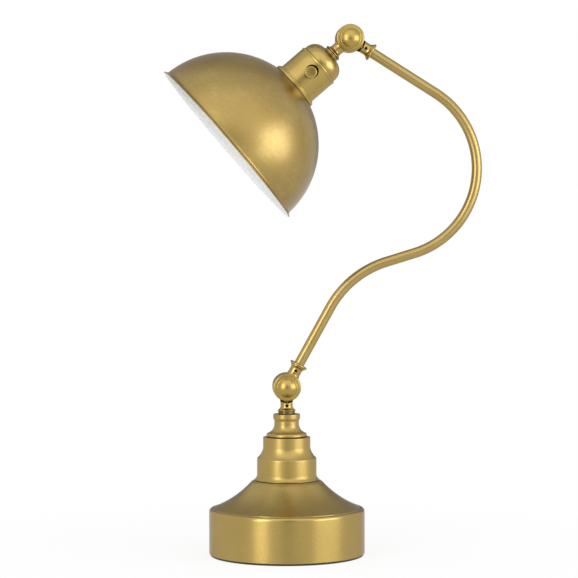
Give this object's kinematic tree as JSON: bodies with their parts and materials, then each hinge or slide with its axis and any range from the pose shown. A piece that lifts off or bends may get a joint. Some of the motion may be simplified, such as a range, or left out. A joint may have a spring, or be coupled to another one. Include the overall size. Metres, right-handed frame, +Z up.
{
  "type": "swing arm desk lamp",
  "caption": "Table lamp with a weighted round base, stepped column, S-curved tube arm between two friction knuckles, and a tilting dome shade with a turn-knob lampholder.",
  "frame": {"origin": "centre of the round base's underside, where the felt pad meets the table", "axes": "+Z up; the arm swings in the XZ plane with the shade on the -X side; the knob side, the front, faces -Y"},
  "size_m": [0.3114, 0.1862, 0.5188],
  "materials": {
    "satin_brass": "satin, faintly mottled",
    "shadowed_brass": "satin, darkened",
    "contact_brass": "bright",
    "zinc_steel": "zinc plated",
    "cast_iron": "as cast, painted",
    "felt": "felt",
    "gland_rubber": "matte",
    "phenolic": "moulded",
    "fibre": "vulcanised fibre",
    "lead_jacket": "smooth insulation"
  },
  "bodies": {
    "base": {"felt_pad": "felt", "base_shell": "satin_brass", "base_weight": "cast_iron", "weight_washer": "zinc_steel", "weight_nut": "zinc_steel", "threaded_rod": "zinc_steel", "cord_gland": "gland_rubber", "base_lead": "lead_jacket", "column": "satin_brass", "collar": "satin_brass", "stem_locknut": "shadowed_brass", "stem_set_screw": "zinc_steel", "lower_knuckle_rear": "satin_brass", "lower_cap_rear": "satin_brass", "lower_pivot_bolt": "zinc_steel", "lower_pivot_nut": "zinc_steel", "lower_spring_washer": "zinc_steel", "lower_friction_washer": "fibre"},
    "arm": {"lower_knuckle_front": "satin_brass", "lower_cap_front": "satin_brass", "lower_ferrule_set_screw": "zinc_steel", "arm_tube": "satin_brass", "arm_lead": "lead_jacket", "upper_ferrule_set_screw": "zinc_steel", "upper_knuckle_rear": "satin_brass", "upper_cap_rear": "satin_brass", "upper_pivot_bolt": "zinc_steel", "upper_pivot_nut": "zinc_steel", "upper_spring_washer": "zinc_steel", "upper_friction_washer": "fibre"},
    "head": {"upper_knuckle_front": "satin_brass", "upper_cap_front": "satin_brass", "head_locknut": "shadowed_brass", "head_nipple": "zinc_steel", "head_nut": "zinc_steel", "head_lead": "lead_jacket", "socket_cap": "satin_brass", "socket_housing": "satin_brass", "shade_collar": "satin_brass", "shade": "satin_brass", "retaining_ring": "phenolic", "lampholder": "phenolic", "screw_shell": "contact_brass", "centre_contact": "contact_brass", "switch_body": "phenolic", "left_terminal_screw": "contact_brass", "right_terminal_screw": "contact_brass"},
    "knob": {"switch_knob": "satin_brass", "knob_shaft": "zinc_steel"}
  },
  "joints": [
    {"name": "arm_lean", "type": "hinge", "parent": "base", "child": "arm", "pos_m": [0, 0, 0.1651], "axis": [0, 1, 0], "range_deg": [-45, 45]},
    {"name": "head_tilt", "type": "hinge", "parent": "arm", "child": "head", "pos_m": [0.06256, 0, 0.50524], "axis": [0, 1, 0], "range_deg": [-50, 60]},
    {"name": "switch_turn", "type": "hinge", "parent": "head", "child": "knob", "pos_m": [0.02263, -0.0255, 0.47101], "axis": [0, -1, 0], "continuous": true}
  ]
}
